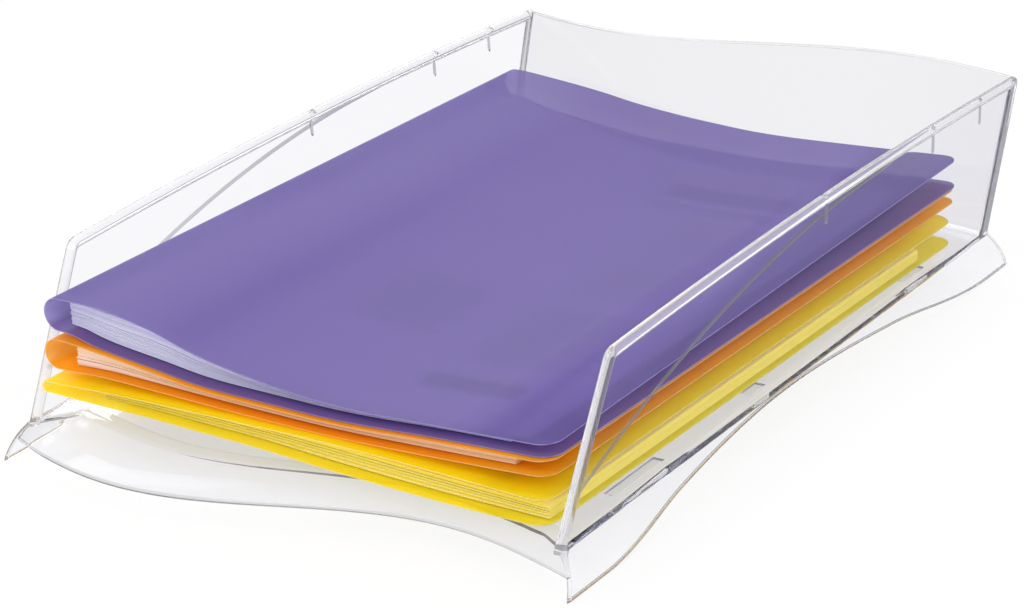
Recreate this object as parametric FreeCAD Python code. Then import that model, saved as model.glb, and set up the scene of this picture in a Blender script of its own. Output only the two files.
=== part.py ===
"""A clear letter tray with three folded document folders in it, each holding a sheaf of sheets.

The tray is one moulding. A printed cover sheet lies on the sheaf of the uppermost folder.

+X runs across the tray to the right, +Y to its rear wall and +Z up, in millimetres. The model is
worked out from the front top corner of the side walls and from the surface that the feet stand on,
and every piece is then moved along Y so that the origin lies under the middle of the tray.
"""
import FreeCAD
import Part
import math
import os

Vector = FreeCAD.Vector

# Sheets, and the folders that hold them: one bent film each, with the fold on the left
sheet_width = 210.0
sheet_length = 297.0
folder_spare_width = 30.0    # how much wider a folder is than a sheet
folder_spare_length = 37.0   # how much longer
leaf = 0.5                   # thickness of the film
leaf_corner_radius = 8.0
lie_gap = 0.4                # between things that lie on each other
cover_sheet = 0.3            # thickness of the printed sheet in the violet folder
stack_height = 50.0          # from the floor to the top of the uppermost fold, at the front
rear_drop = 4.5              # how much lower the stack lies at its rear end
yellow_front = 31.5          # front edge of the lowest folder, forward of the rim's front corner
orange_slip = 4.0            # how far the folders above it lie further back
violet_slip = 6.0
violet_recess = 7.0          # front edges of the sheets, behind the front edge of their folder
orange_recess = 5.0
yellow_recess = 6.0

# Tray: overall sizes, round the folders
fold_clearance = 1.0         # between the folds and the border of the left wall
free_room = 5.4              # between the folders' free edges and the border of the right wall
rear_room = 3.8              # between the lowest folder and the foot of the rear wall
wall_height = 66.0           # from the floor to the rim at its corners
foot_height = 15.0           # from the ground to the upper face of the floor
wall = 2.2                   # thickness of every wall of the moulding
wall_lean = 2.4              # how far a side wall leans out over its height
front_rake = 37.0            # how far a side wall's front edge runs forward, rim to floor
rear_lean = 27.0             # how far the rear wall leans back, floor to rim
crown = 4.0                  # rise of the rim, and of the belt line, halfway along

# Tray: rim border, its notches and the curved ridge on the side walls
border_depth = 4.5
border_proud = 1.1       # on each face of the wall
corner_radius = 7.0
notch_width = 2.0
notch_depth = 1.6
notch_shares = (0.476, 0.754, 0.886)
rib_width = 1.8
rib_length = 8.0
rib_proud = 0.8
ridge_width = 3.0
ridge_proud = 0.7
ridge_end_shares = ((-0.075, 0.20), (0.136, 0.72), (0.470, 0.985))

# Tray: waves in plan of the rear wall, the floor's front edge and the lip
rear_inset = 1.0         # rear wall's outer face, forward of the side walls' rear edges
rear_wave_top = 12.0
rear_wave_base = 9.0
floor_back = 12.0        # floor's front edge, behind the walls' front feet
floor_wave = 8.0
floor_wave_length_share = 0.77
cheek_width = 11.0       # beside each wall, where the floor's front edge turns forward to the wall's foot
lip_over = 3.0           # lip's lower edge, ahead of the walls' front feet
lip_wave = 14.5
lip_drop = 6.5
lip_bulge = 1.3
wave_points = 9

# Tray: skirts that flare out below the belt line and arch between the four feet
skirt_out = 9.0
skirt_ledge = 1.0
skirt_mid_shares = (0.68, 0.42)
skirt_wall = 2.0
foot_tail = 4.0          # how far the skirt's rear end runs back beyond the rear wall's base
arch_shares = ((-0.03, 0.0), (0.12, 0.55), (0.32, 0.87), (0.63, 0.62), (0.87, 0.0))

# Tray: pockets let into the floor beside the walls
pocket_width = 5.0
pocket_depth = 1.0
pocket_margin = 5.0      # from the wall's inner face to the pocket
pocket_shares = ((0.035, 0.140), (0.335, 0.370), (0.725, 0.780))

# Heights of the leaves in shares of the stack's height over its rear seat, at these shares of the
# folder's width from the fold. The first height of each row is where the leaf meets the round fold.
station_shares = (0.0, 0.12, 0.22, 0.32, 0.45, 0.60, 0.80, 1.0)
violet_upper_front_shares = (1.022, 1.011, 0.923, 0.775, 0.659, 0.593, 0.621, 0.659)
violet_upper_rear_shares = (0.923, 0.886, 0.826, 0.745, 0.678, 0.641, 0.670, 0.715)
violet_lower_shares = (0.720, 0.630, 0.564, 0.498, 0.476, 0.466, 0.514, 0.548)
orange_sag_shares = (0.052, 0.004, 0.0, 0.0, 0.0, 0.0, 0.0, 0.0)
orange_lower_shares = (0.374, 0.387, 0.374, 0.356, 0.338, 0.330, 0.358, 0.401)
yellow_sag_shares = (0.085, 0.079, 0.058, 0.035, 0.014, 0.004, 0.064, 0.162)
yellow_lower_shares = (0.170, 0.156, 0.152, 0.133, 0.110, 0.060, 0.016, 0.0)

# Where the sheets lie between the fold and the free edge, and how far a sheaf fills its folder
cover_place_share = 0.40
violet_place_share = 0.03
orange_place_share = 0.24
yellow_place_share = 0.92
violet_fill_shares = (0.82, 0.84, 0.84, 0.80, 0.74, 0.66, 0.60, 0.60)
orange_fill_shares = (0.80, 0.88, 0.84, 0.76, 0.66, 0.60, 0.70, 0.75)
yellow_fill_shares = (0.60, 0.85, 0.88, 0.85, 0.78, 0.70, 0.64, 0.60)

overrun = 20.0           # how far a cutter runs past what it cuts
straight_within = 0.001  # a bend this shallow is drawn as a line

# Worked out from the sizes above
folder_width = sheet_width + folder_spare_width
folder_length = sheet_length + folder_spare_length
orange_front = yellow_front - orange_slip
violet_front = yellow_front - violet_slip
border_in = (folder_width + fold_clearance + free_room) / 2
wall_out = border_in + border_proud + wall
wall_in = wall_out - wall
rim_width = 2 * (wall_out + wall_lean + border_proud)
fold_left = fold_clearance - border_in
floor_top = foot_height
rim_top = floor_top + wall_height
lean_angle = math.degrees(math.asin(wall_lean / wall_height))
rake_slope = front_rake / wall_height
rear_slope = rear_lean / wall_height
rear_base = folder_length - yellow_front + rear_room + rear_wave_base + wall + rear_inset
rim_length = rear_base + rear_lean
skin_out = wall_out + skirt_out
floor_reach = front_rake - floor_back
lip_reach = front_rake + lip_over
front_reach = lip_reach + lip_wave
rear_reach = rim_length - rear_inset + rear_wave_top
to_middle = Vector(0, (front_reach - rear_reach) / 2, 0)


def line(a, b):
    return Part.LineSegment(a, b).toShape()


def arc(a, b, c):
    return Part.Arc(a, b, c).toShape()


def spline(points):
    """A smooth edge through points."""
    curve = Part.BSplineCurve()
    curve.interpolate(points)
    return curve.toShape()


def bend(a, b, corner):
    """An arc from a to b that is tangent there to the lines from a corner equally far from both."""
    half = (b - a).Length / 2
    chord_middle = (a + b) / 2
    rise = corner - chord_middle
    if rise.Length < straight_within:
        return line(a, b)
    return arc(a, chord_middle + rise * (half / (half + (corner - a).Length)), b)


def two_bends(a, b, first, last):
    """Two arcs from a to b that join at a tangent and have the given directions at their ends."""
    gap = b - a
    along = gap.dot(first + last)
    turn = 1 - first.dot(last)
    reach = gap.dot(gap) / (along + math.sqrt(along ** 2 + 2 * turn * gap.dot(gap)))
    corner_a = a + first * reach
    corner_b = b - last * reach
    join = (corner_a + corner_b) / 2
    return [bend(a, join, corner_a), bend(join, b, corner_b)]


def smooth_line(points, first, last):
    """Tangent arcs through points, with the given directions at the two ends."""
    between = [(after - before).normalize() for before, after in zip(points, points[2:])]
    directions = [first] + between + [last]
    edges = []
    for i in range(len(points) - 1):
        edges += two_bends(points[i], points[i + 1], directions[i], directions[i + 1])
    return edges


def plate(edges, along):
    """The closed outline of the edges, extruded."""
    return Part.Face(Part.Wire(Part.__sortEdges__(edges))).extrude(along)


def both_sides(shape):
    """A shape of the right side with its mirror image on the left."""
    return [shape, shape.mirror(Vector(), Vector(1, 0, 0))]


def wave(x, middle, height, length):
    return middle + height * math.sin(2 * math.pi * x / length)


def steps(first, last, count):
    """Evenly spaced places from first to last."""
    return [first + (last - first) * i / (count - 1) for i in range(count)]


def wave_edge(middle, height, length, z):
    """A sine wave in plan that runs across the tray and past both side walls."""
    places = steps(-skin_out, skin_out, wave_points)
    return spline([Vector(x, wave(x, middle, height, length), z) for x in places])


def ends(edge):
    return edge.Vertexes[0].Point, edge.Vertexes[-1].Point


def strip_wire(front, rear):
    """A closed outline between two edges that run across the tray."""
    front_left, front_right = ends(front)
    rear_left, rear_right = ends(rear)
    return Part.Wire([front, line(front_right, rear_right), rear, line(rear_left, front_left)])


def wall_outline(bottom):
    """Edges of a side wall seen from the side, down to the given height above the floor."""
    front_foot = Vector(0, rake_slope * (bottom - wall_height), bottom)
    front_top = Vector(0, 0, wall_height)
    middle_top = Vector(0, rim_length / 2, wall_height + crown)
    rear_top = Vector(0, rim_length, wall_height)
    rear_foot = Vector(0, rim_length + rear_slope * (bottom - wall_height), bottom)
    return [
        line(front_foot, front_top),
        arc(front_top, middle_top, rear_top),
        line(rear_top, rear_foot),
        line(rear_foot, front_foot),
    ]


def wall_plate(bottom, inner, outer):
    """A side wall's outline between two depths, with its front top corner rounded."""
    solid = plate(wall_outline(bottom), Vector(outer - inner, 0, 0))
    solid.translate(Vector(inner, 0, 0))
    corner = [
        e for e in solid.Edges
        if abs(e.CenterOfMass.y) < corner_radius and abs(e.CenterOfMass.z - wall_height) < corner_radius
        and abs(e.BoundBox.XLength - abs(outer - inner)) < notch_width / 2
    ]
    return solid.makeFillet(corner_radius, corner)


def rim_border():
    """The thick border along the front, top and rear edges of a side wall."""
    inner = -wall - border_proud
    full = wall_plate(-wall, inner, border_proud)
    outline = Part.Face(Part.Wire(wall_outline(-wall - overrun)))
    inside = outline.makeOffset2D(-border_depth)
    cutter = inside.extrude(Vector(wall + 2 * border_proud + 2 * overrun, 0, 0))
    cutter.translate(Vector(inner - overrun, 0, 0))
    return full.cut(cutter)


def rim_height(y):
    """Height of the rim above the floor, on the arc that crowns it."""
    radius = (rim_length ** 2 / 4 + crown ** 2) / (2 * crown)
    return wall_height + crown - radius + math.sqrt(radius ** 2 - (y - rim_length / 2) ** 2)


def wall_rib(y):
    """A short upright rib with a round foot, under a notch of the rim."""
    top = rim_height(y) - border_depth / 2
    bottom = rim_height(y) - border_depth - rib_length
    half = rib_width / 2
    edges = [
        line(Vector(0, y - half, bottom), Vector(0, y - half, top)),
        line(Vector(0, y - half, top), Vector(0, y + half, top)),
        line(Vector(0, y + half, top), Vector(0, y + half, bottom)),
        arc(Vector(0, y + half, bottom), Vector(0, y, bottom - half), Vector(0, y - half, bottom)),
    ]
    rib = plate(edges, Vector(wall / 2 + rib_proud, 0, 0))
    rib.translate(Vector(-wall / 2, 0, 0))
    return rib


def rim_notch(y):
    depth = wall + 2 * border_proud + 2 * overrun
    corner = Vector(-depth / 2, y - notch_width / 2, rim_height(y) - notch_depth)
    return Part.makeBox(depth, notch_width, notch_depth + overrun, corner)


def wall_ridge():
    """The curved ridge that sweeps up from the front edge of a side wall to its rim."""
    low, middle, high = [
        Vector(-wall / 2, y_share * rim_length, z_share * wall_height)
        for y_share, z_share in ridge_end_shares
    ]
    across = Vector(0, -ridge_width, ridge_width).multiply(1 / math.sqrt(2))
    edges = [
        arc(low, middle, high),
        line(high, high + across),
        arc(high + across, middle + across, low + across),
        line(low + across, low),
    ]
    band = plate(edges, Vector(wall / 2 + ridge_proud, 0, 0))
    return band.common(wall_plate(-wall, -wall, ridge_proud))


def side_wall():
    """The right side wall with its border, notches, ribs and ridge, leaning out."""
    places = [share * rim_length for share in notch_shares]
    body = wall_plate(-wall, -wall, 0)
    body = body.fuse([rim_border(), wall_ridge()] + [wall_rib(y) for y in places])
    body = body.cut([rim_notch(y) for y in places])
    body.rotate(Vector(), Vector(0, 1, 0), lean_angle)
    body.translate(Vector(wall_out, 0, floor_top))
    return body


def skirt_arc(inset):
    """Points of the skirt's flare from the belt line down, in X and Z, on one of its faces."""
    mid_out, mid_down = skirt_mid_shares
    return (
        Vector(skirt_ledge - inset, 0, 0),
        Vector(mid_out * skirt_out - inset * mid_out, 0, -mid_down * foot_height - inset * mid_down),
        Vector(skirt_out - inset, 0, -foot_height - crown),
    )


def skirt():
    """The right skirt: the flare extruded along the tray, then cut to its belt line, feet and arch."""
    outer_top, outer_mid, outer_low = skirt_arc(0)
    inner_top, inner_mid, inner_low = skirt_arc(skirt_wall)
    rise = Vector(0, 0, crown + overrun)
    tuck = Vector(inner_top.x, 0, -skirt_wall)
    edges = [
        line(outer_top + rise, outer_top),
        arc(outer_top, outer_mid, outer_low),
        line(outer_low, inner_low),
        arc(inner_low, inner_mid, tuck),
        line(tuck, inner_top + rise),
        line(inner_top + rise, outer_top + rise),
    ]
    flare = plate(edges, Vector(0, front_reach + rear_reach, 0))
    flare.translate(Vector(wall_out, -front_reach, floor_top))
    return flare.common(skirt_side_view())


def skirt_side_view():
    """What is kept of a skirt, seen from the side: crowned belt line, raked ends, flat feet, arch."""
    arch = [Vector(0, y * rim_length, z * foot_height) for y, z in arch_shares]
    flat = Vector(0, 1, 0)
    front_low = Vector(0, -front_rake - rake_slope * foot_height, 0)
    front_top = Vector(0, -front_rake, floor_top)
    middle_top = Vector(0, (rear_base - front_rake) / 2, floor_top + crown)
    rear_top = Vector(0, rear_base, floor_top)
    rear_low = Vector(0, rear_base + foot_tail, 0)
    edges = smooth_line(arch, flat, flat) + [
        line(arch[-1], rear_low),
        line(rear_low, rear_top),
        arc(rear_top, middle_top, front_top),
        line(front_top, front_low),
        line(front_low, arch[0]),
    ]
    return plate(edges, Vector(skin_out + overrun, 0, 0))


def inside_space():
    """The space between the middles of the two outer skins, which the floor and lip run out to."""
    outer_top, outer_mid, outer_low = [p + Vector(wall_out, 0, floor_top) for p in skirt_arc(skirt_wall / 2)]
    base = Vector(wall_out - wall / 2, 0, floor_top)
    rise = wall_height + overrun
    top = base + Vector(wall_lean * rise / wall_height, 0, rise)
    mirrored = [Vector(-p.x, p.y, p.z) for p in (top, base, outer_top, outer_mid, outer_low)]
    edges = [
        arc(outer_low, outer_mid, outer_top),
        line(outer_top, base),
        line(base, top),
        line(top, mirrored[0]),
        line(mirrored[0], mirrored[1]),
        line(mirrored[1], mirrored[2]),
        arc(mirrored[2], mirrored[3], mirrored[4]),
        line(mirrored[4], outer_low),
    ]
    length = front_reach + rear_reach + 2 * overrun
    space = plate(edges, Vector(0, length, 0))
    space.translate(Vector(0, -front_reach - overrun, 0))
    return space


def floor_edge(x):
    """The floor's front edge in Y: a wave that turns forward to the walls' feet in the two cheeks."""
    start = wall_in - cheek_width
    near = max(-start, min(start, x))
    y = wave(near, -floor_reach, floor_wave, floor_wave_length_share * rim_width)
    turn = min(1, abs(x - near) / cheek_width)
    return y + turn * (wall - front_rake - y)


def across_spans():
    """Stretches across the tray: the lip's ends in the skirts, the two cheeks and the wave between."""
    start = wall_in - cheek_width
    limits = [-skin_out, -wall_in, -start, start, wall_in, skin_out]
    return list(zip(limits, limits[1:]))


def floor_plate():
    """The flat floor, with a waved front edge and a rear edge under the rear wall."""
    edges = []
    for left, right in across_spans():
        points = [Vector(x, floor_edge(x), floor_top) for x in steps(left, right, wave_points)]
        is_wave = left < 0 < right
        edges.append(spline(points) if is_wave else line(points[0], points[-1]))
    rear = wave_edge(rear_base - rear_inset - wall / 2, rear_wave_base, rim_width, floor_top)
    left_rear, right_rear = ends(rear)
    left_front = edges[0].Vertexes[0].Point
    right_front = edges[-1].Vertexes[-1].Point
    edges += [line(right_front, right_rear), rear, line(left_rear, left_front)]
    return plate(edges, Vector(0, 0, -wall))


def rear_wall():
    """The rear wall: a wave in plan at its base and at its top, leaning back."""
    sections = []
    for z, height in ((-wall, rear_wave_base), (wall_height, rear_wave_top)):
        outer = rim_length - rear_inset + rear_slope * (z - wall_height)
        front = wave_edge(outer - wall, height, rim_width, floor_top + z)
        rear = wave_edge(outer, height, rim_width, floor_top + z)
        sections.append(strip_wire(front, rear))
    return Part.makeLoft(sections, True, True)


def lip_section(x):
    """The lip cut along Y at x: a thin band that bulges from the floor's edge to the lower edge."""
    back = floor_edge(x) + wall
    front = wave(x, -lip_reach, lip_wave, rim_width)
    top = Vector(x, back, floor_top)
    mid = Vector(x, (back + front) / 2, floor_top - lip_drop / 2 + lip_bulge)
    low = Vector(x, front, floor_top - lip_drop)
    down = Vector(0, 0, -wall)
    return Part.Wire([
        arc(top, mid, low),
        line(low, low + down),
        arc(low + down, mid + down, top + down),
        line(top + down, top),
    ])


def front_lip():
    """Stretches of the lip, which slopes forward and down from the floor, lofted across the tray."""
    lofts = []
    for left, right in across_spans():
        count = wave_points if left < 0 < right else 2
        sections = [lip_section(x) for x in steps(left, right, count)]
        lofts.append(Part.makeLoft(sections, True, count == 2))
    return lofts


def floor_pocket(start_share, end_share):
    x = wall_in - pocket_margin - pocket_width
    length = (end_share - start_share) * rim_length
    corner = Vector(x, start_share * rim_length, floor_top - pocket_depth)
    return Part.makeBox(pocket_width, length, pocket_depth + overrun, corner)


def tray_moulding():
    """The whole tray, which comes out of its mould in one piece."""
    space = inside_space()
    inner = [skin.common(space) for skin in [rear_wall(), floor_plate()] + front_lip()]
    tray = inner[0].fuse(inner[1:] + both_sides(side_wall()) + both_sides(skirt()))
    for shares in pocket_shares:
        tray = tray.cut(both_sides(floor_pocket(*shares)))
    return tray


def heights(shares):
    """Heights of a leaf's underside over the ground, at the front end."""
    return [floor_top + lie_gap + rear_drop + share * (stack_height - rear_drop) for share in shares]


def under(values, sag_shares):
    """Heights of a leaf's upper face that lies under another leaf and sags away from it."""
    return [z - lie_gap - share * (stack_height - rear_drop) for z, share in zip(values, sag_shares)]


def dropped(values):
    """The same heights at the rear end."""
    return [z - rear_drop for z in values]


def fold_radius(upper, lower):
    return (upper[0] - lower[0]) / 2


def stations(y, values, start):
    """Points of a leaf at y, from where it leaves the fold to its free edge."""
    points = [Vector(fold_left + share * folder_width, y, z) for share, z in zip(station_shares, values)]
    points[0].x = start
    return points


def lifted(points, by):
    return [p + Vector(0, 0, by) for p in points]


def free_direction(points):
    return (points[-1] - points[-2]).normalize()


def run_past(points):
    """A point beyond a leaf's free edge, on its line."""
    return points[-1] + free_direction(points).multiply(overrun)


def leaf_line(points):
    """A leaf's line: level where it leaves the fold, straight at its free edge."""
    return smooth_line(points, Vector(1, 0, 0), free_direction(points))


def folder_wire(y, upper, lower, start):
    """Outline of a bent film at y: two leaves that run past the free edge, and the round fold."""
    radius = fold_radius(upper, lower)
    halfway = math.cos(math.radians(45))
    outer = radius * halfway
    inner = (radius - leaf) * halfway
    middle = Vector(start, y, (upper[0] + lower[0]) / 2)
    left = middle - Vector(radius, 0, 0)
    left_in = left + Vector(leaf, 0, 0)
    top = stations(y, upper, start)
    low = stations(y, lower, start)
    top_in = lifted(top, -leaf)
    low_in = lifted(low, leaf)
    top_end, top_in_end, low_in_end, low_end = [run_past(row) for row in (top, top_in, low_in, low)]
    edges = leaf_line(top)
    edges += [line(top[-1], top_end), line(top_end, top_in_end), line(top_in_end, top_in[-1])]
    edges += reversed(leaf_line(top_in))
    edges += [
        arc(top_in[0], middle + Vector(-inner, 0, inner), left_in),
        arc(left_in, middle + Vector(-inner, 0, -inner), low_in[0]),
    ]
    edges += leaf_line(low_in)
    edges += [line(low_in[-1], low_in_end), line(low_in_end, low_end), line(low_end, low[-1])]
    edges += reversed(leaf_line(low))
    edges += [
        arc(low[0], middle + Vector(-outer, 0, -outer), left),
        arc(left, middle + Vector(-outer, 0, outer), top[0]),
    ]
    return Part.Wire(edges)


def folder_plan(front):
    """A block with a folder's outline in plan: square at the fold, rounded at the free corners."""
    left = fold_left - overrun
    right = fold_left + folder_width
    rear = folder_length - front
    inset = leaf_corner_radius
    front_corner = Vector(right, -front, 0)
    rear_corner = Vector(right, rear, 0)
    across = Vector(inset, 0, 0)
    along = Vector(0, inset, 0)
    edges = [
        line(Vector(left, -front, 0), front_corner - across),
        bend(front_corner - across, front_corner + along, front_corner),
        line(front_corner + along, rear_corner - along),
        bend(rear_corner - along, rear_corner - across, rear_corner),
        line(rear_corner - across, Vector(left, rear, 0)),
        line(Vector(left, rear, 0), Vector(left, -front, 0)),
    ]
    return plate(edges, Vector(0, 0, rim_top + overrun))


def rows_at(y, front, rows):
    """Heights of a folder's upper and lower leaf at y, on straight lines through its two ends."""
    upper_front, upper_rear, lower_front, lower_rear = rows
    share = (y + front) / folder_length
    upper = [a + share * (b - a) for a, b in zip(upper_front, upper_rear)]
    lower = [a + share * (b - a) for a, b in zip(lower_front, lower_rear)]
    return upper, lower


def folder(front, rows):
    """One bent film: lofted past its ends and its free edge, then cut to its plan."""
    start = fold_left + fold_radius(rows[0], rows[2])
    wires = []
    for y in (-front - overrun, folder_length - front + overrun):
        upper, lower = rows_at(y, front, rows)
        wires.append(folder_wire(y, upper, lower, start))
    return Part.makeLoft(wires, True, True).common(folder_plan(front))


def paper_wire(base, top):
    """Outline of lying paper at one end, between two rows of points as wide as its folder."""
    edges = leaf_line(base) + [line(base[-1], top[-1])]
    edges += reversed(leaf_line(top))
    return Part.Wire(edges + [line(top[0], base[0])])


def sheaf_heights(rows, fills):
    """How high a sheaf stands at each station: a share of the space at the folder's narrower end."""
    upper_front, upper_rear, lower_front, lower_rear = rows
    front_room = [upper - lower for upper, lower in zip(upper_front, lower_front)]
    back_room = [upper - lower for upper, lower in zip(upper_rear, lower_rear)]
    rooms = [min(pair) - 2 * (leaf + lie_gap) for pair in zip(front_room, back_room)]
    return [room * fill for room, fill in zip(rooms, fills)]


def paper(front, recess, place_share, rows, below, thick):
    """Paper in a folder, lofted at given heights over the lower leaf and cut to a sheet's width."""
    radius = fold_radius(rows[0], rows[2])
    start = fold_left + radius
    left = start + place_share * (folder_spare_width - radius)
    first = -front + recess
    wires = []
    for y in (first, first + sheet_length):
        lower = rows_at(y, front, rows)[1]
        base = [p + Vector(0, 0, z) for p, z in zip(stations(y, lower, start), below)]
        top = [p + Vector(0, 0, z) for p, z in zip(base, thick)]
        wires.append(paper_wire(base, top))
    width = Part.makeBox(sheet_width, sheet_length + 2 * overrun, rim_top, Vector(left, first - overrun, 0))
    return Part.makeLoft(wires, True, True).common(width)


def sheaf(front, recess, place_share, rows, fills):
    """A sheaf of sheets, which lies on the lower leaf."""
    thick = sheaf_heights(rows, fills)
    return paper(front, recess, place_share, rows, [leaf + lie_gap for z in thick], thick)


def top_sheet(front, recess, place_share, rows, fills):
    """One sheet, which lies on a sheaf."""
    below = [leaf + 2 * lie_gap + z for z in sheaf_heights(rows, fills)]
    return paper(front, recess, place_share, rows, below, [cover_sheet for z in below])


violet_top_front = [z + leaf for z in heights(violet_upper_front_shares)]
violet_top_rear = [z + leaf for z in heights(violet_upper_rear_shares)]
violet_low = heights(violet_lower_shares)
orange_top = under(violet_low, orange_sag_shares)
orange_low = heights(orange_lower_shares)
yellow_top = under(orange_low, yellow_sag_shares)
yellow_low = heights(yellow_lower_shares)

violet_rows = (violet_top_front, violet_top_rear, violet_low, dropped(violet_low))
orange_rows = (orange_top, dropped(orange_top), orange_low, dropped(orange_low))
yellow_rows = (yellow_top, dropped(yellow_top), yellow_low, dropped(yellow_low))

pieces = {
    "tray_moulding": tray_moulding(),
    "violet_folder": folder(violet_front, violet_rows),
    "violet_cover_sheet": top_sheet(
        violet_front, violet_recess, cover_place_share, violet_rows, violet_fill_shares
    ),
    "violet_sheaf": sheaf(violet_front, violet_recess, violet_place_share, violet_rows, violet_fill_shares),
    "orange_folder": folder(orange_front, orange_rows),
    "orange_sheaf": sheaf(orange_front, orange_recess, orange_place_share, orange_rows, orange_fill_shares),
    "yellow_folder": folder(yellow_front, yellow_rows),
    "yellow_sheaf": sheaf(yellow_front, yellow_recess, yellow_place_share, yellow_rows, yellow_fill_shares),
}

os.makedirs("parts", exist_ok=True)
for name, shape in pieces.items():
    shape.translate(to_middle)
    shape.exportStep("parts/" + name + ".step")
    box = shape.BoundBox
    print(
        name, "solids", len(shape.Solids), "valid", shape.isValid(),
        "volume", round(shape.Volume), "faces", len(shape.Faces),
        "x", round(box.XMin, 1), round(box.XMax, 1),
        "y", round(box.YMin, 1), round(box.YMax, 1),
        "z", round(box.ZMin, 1), round(box.ZMax, 1),
    )
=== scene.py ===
# %% [markdown]
# A clear letter tray that holds three folded document folders, each with a sheaf of paper in it.
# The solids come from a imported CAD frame, in metres, and stay where they are. This lesson dresses
# them: the tray as one moulding with rounded edges, the films, the papers, the light and the camera.

# %% Load the frame
import math

import bpy
import bmesh
import numpy as np
from mathutils import Matrix, Vector


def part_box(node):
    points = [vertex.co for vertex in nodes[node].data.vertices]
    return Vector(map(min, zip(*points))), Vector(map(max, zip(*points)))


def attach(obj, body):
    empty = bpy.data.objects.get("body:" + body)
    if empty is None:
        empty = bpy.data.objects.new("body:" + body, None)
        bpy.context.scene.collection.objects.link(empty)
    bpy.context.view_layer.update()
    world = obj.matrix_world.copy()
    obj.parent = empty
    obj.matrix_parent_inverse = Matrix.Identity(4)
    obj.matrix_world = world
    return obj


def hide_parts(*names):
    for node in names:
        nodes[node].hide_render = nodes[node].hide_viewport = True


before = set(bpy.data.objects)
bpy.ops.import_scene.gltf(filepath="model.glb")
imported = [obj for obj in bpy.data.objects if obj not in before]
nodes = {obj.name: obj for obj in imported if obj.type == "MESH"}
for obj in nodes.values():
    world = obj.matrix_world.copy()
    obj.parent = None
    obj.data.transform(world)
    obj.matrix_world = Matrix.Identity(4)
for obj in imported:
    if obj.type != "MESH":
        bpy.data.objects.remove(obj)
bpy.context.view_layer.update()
scene = bpy.context.scene
mm = 0.001

# %% [markdown]
# The tray is measured from the front top corner of its rims and from the upper face of its floor.
# These are the moulding's own sizes, in millimetres, and one function carries points into the frame.

# %% Sizes of the tray
wall = 2.2
wall_height = 66.0
foot_height = 15.0
wall_lean = 2.4
front_rake = 37.0
rear_lean = 27.0
crown = 4.0
border_in = 123.2
border_depth = 4.5
border_proud = 1.1
corner_radius = 7.0
rear_base = 318.5
rear_inset = 1.0
rear_wave_top = 12.0
rear_wave_base = 9.0
floor_reach = 25.0
floor_wave = 8.0
floor_wave_length = 200.2
cheek_width = 11.0
lip_reach = 40.0
lip_wave = 14.5
lip_drop = 6.5
lip_bulge = 1.3
skirt_out = 9.0
skirt_ledge = 1.0
skirt_wall = 2.0
foot_tail = 4.0

wall_out = border_in + border_proud + wall
wall_in = wall_out - wall
rim_width = 2 * (wall_out + wall_lean + border_proud)
rim_length = rear_base + rear_lean
rake_slope = front_rake / wall_height
rear_slope = rear_lean / wall_height
lean_angle = math.asin(wall_lean / wall_height)
front_reach = lip_reach + lip_wave
rear_reach = rim_length - rear_inset + rear_wave_top
rim_front = (front_reach - rear_reach) / 2


def to_frame(points):
    """Points of the tray in millimetres, moved to the frame in metres."""
    return (np.asarray(points, float) + (0, rim_front, foot_height)) * mm


# %% [markdown]
# Clear polystyrene is polished on both faces. A flat wall shows what is behind it almost as it is, so it
# gets a low index that bends light little. The bent sheet of floor and rear wall mirrors more, the lip is
# a little milky, a thick rounded edge glows white where the real plate gathers the light that runs inside it,
# the low edges draw thin dark lines, and the ridge only shimmers. The white of the thick edges and of the
# ridge is painted: a milky white share stands for that glow and for the ridge's highlight. One function
# makes all of these from the same plastic, with a tone, an index and a share that stays clear. The tones
# differ from part to part as painted shade, greyer on the bent sheet and the lip, so the parts are lit and
# shaded copies of one plastic. Rays that only ask for light pass straight, so that the papers inside stay
# bright, and a slow ripple stands for the moulding's flow.

# %% Clear polystyrene
lilac_tint = 0.02
least_haze_share = 0.3
lamp_pass = (0.955, 0.955, 0.965)


def new_material(name):
    """A material with its nodes, its links, its shader and its output."""
    material = bpy.data.materials.new(name)
    material.use_nodes = True
    tree = material.node_tree
    return material, tree.nodes, tree.links, tree.nodes["Principled BSDF"], tree.nodes["Material Output"]


def put(link, socket, value):
    """Links a socket to another one, or sets its value."""
    if isinstance(value, bpy.types.NodeSocket):
        link.new(value, socket)
    else:
        socket.default_value = value


def mixed(add, link, share, first, second):
    """A mix of two shaders."""
    mix = add.new("ShaderNodeMixShader")
    put(link, mix.inputs["Fac"], share)
    link.new(first, mix.inputs[1])
    link.new(second, mix.inputs[2])
    return mix.outputs["Shader"]


def clear_face(add, colour):
    """A shader that lets light pass straight, tinted."""
    straight = add.new("ShaderNodeBsdfTransparent")
    straight.inputs["Color"].default_value = (*colour, 1)
    return straight.outputs["BSDF"]


def pass_lamp_light(add, link, surface, colour):
    """A surface that rays which only ask for light pass straight, tinted."""
    path = add.new("ShaderNodeLightPath")
    return mixed(add, link, path.outputs["Is Shadow Ray"], surface, clear_face(add, colour))


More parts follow.
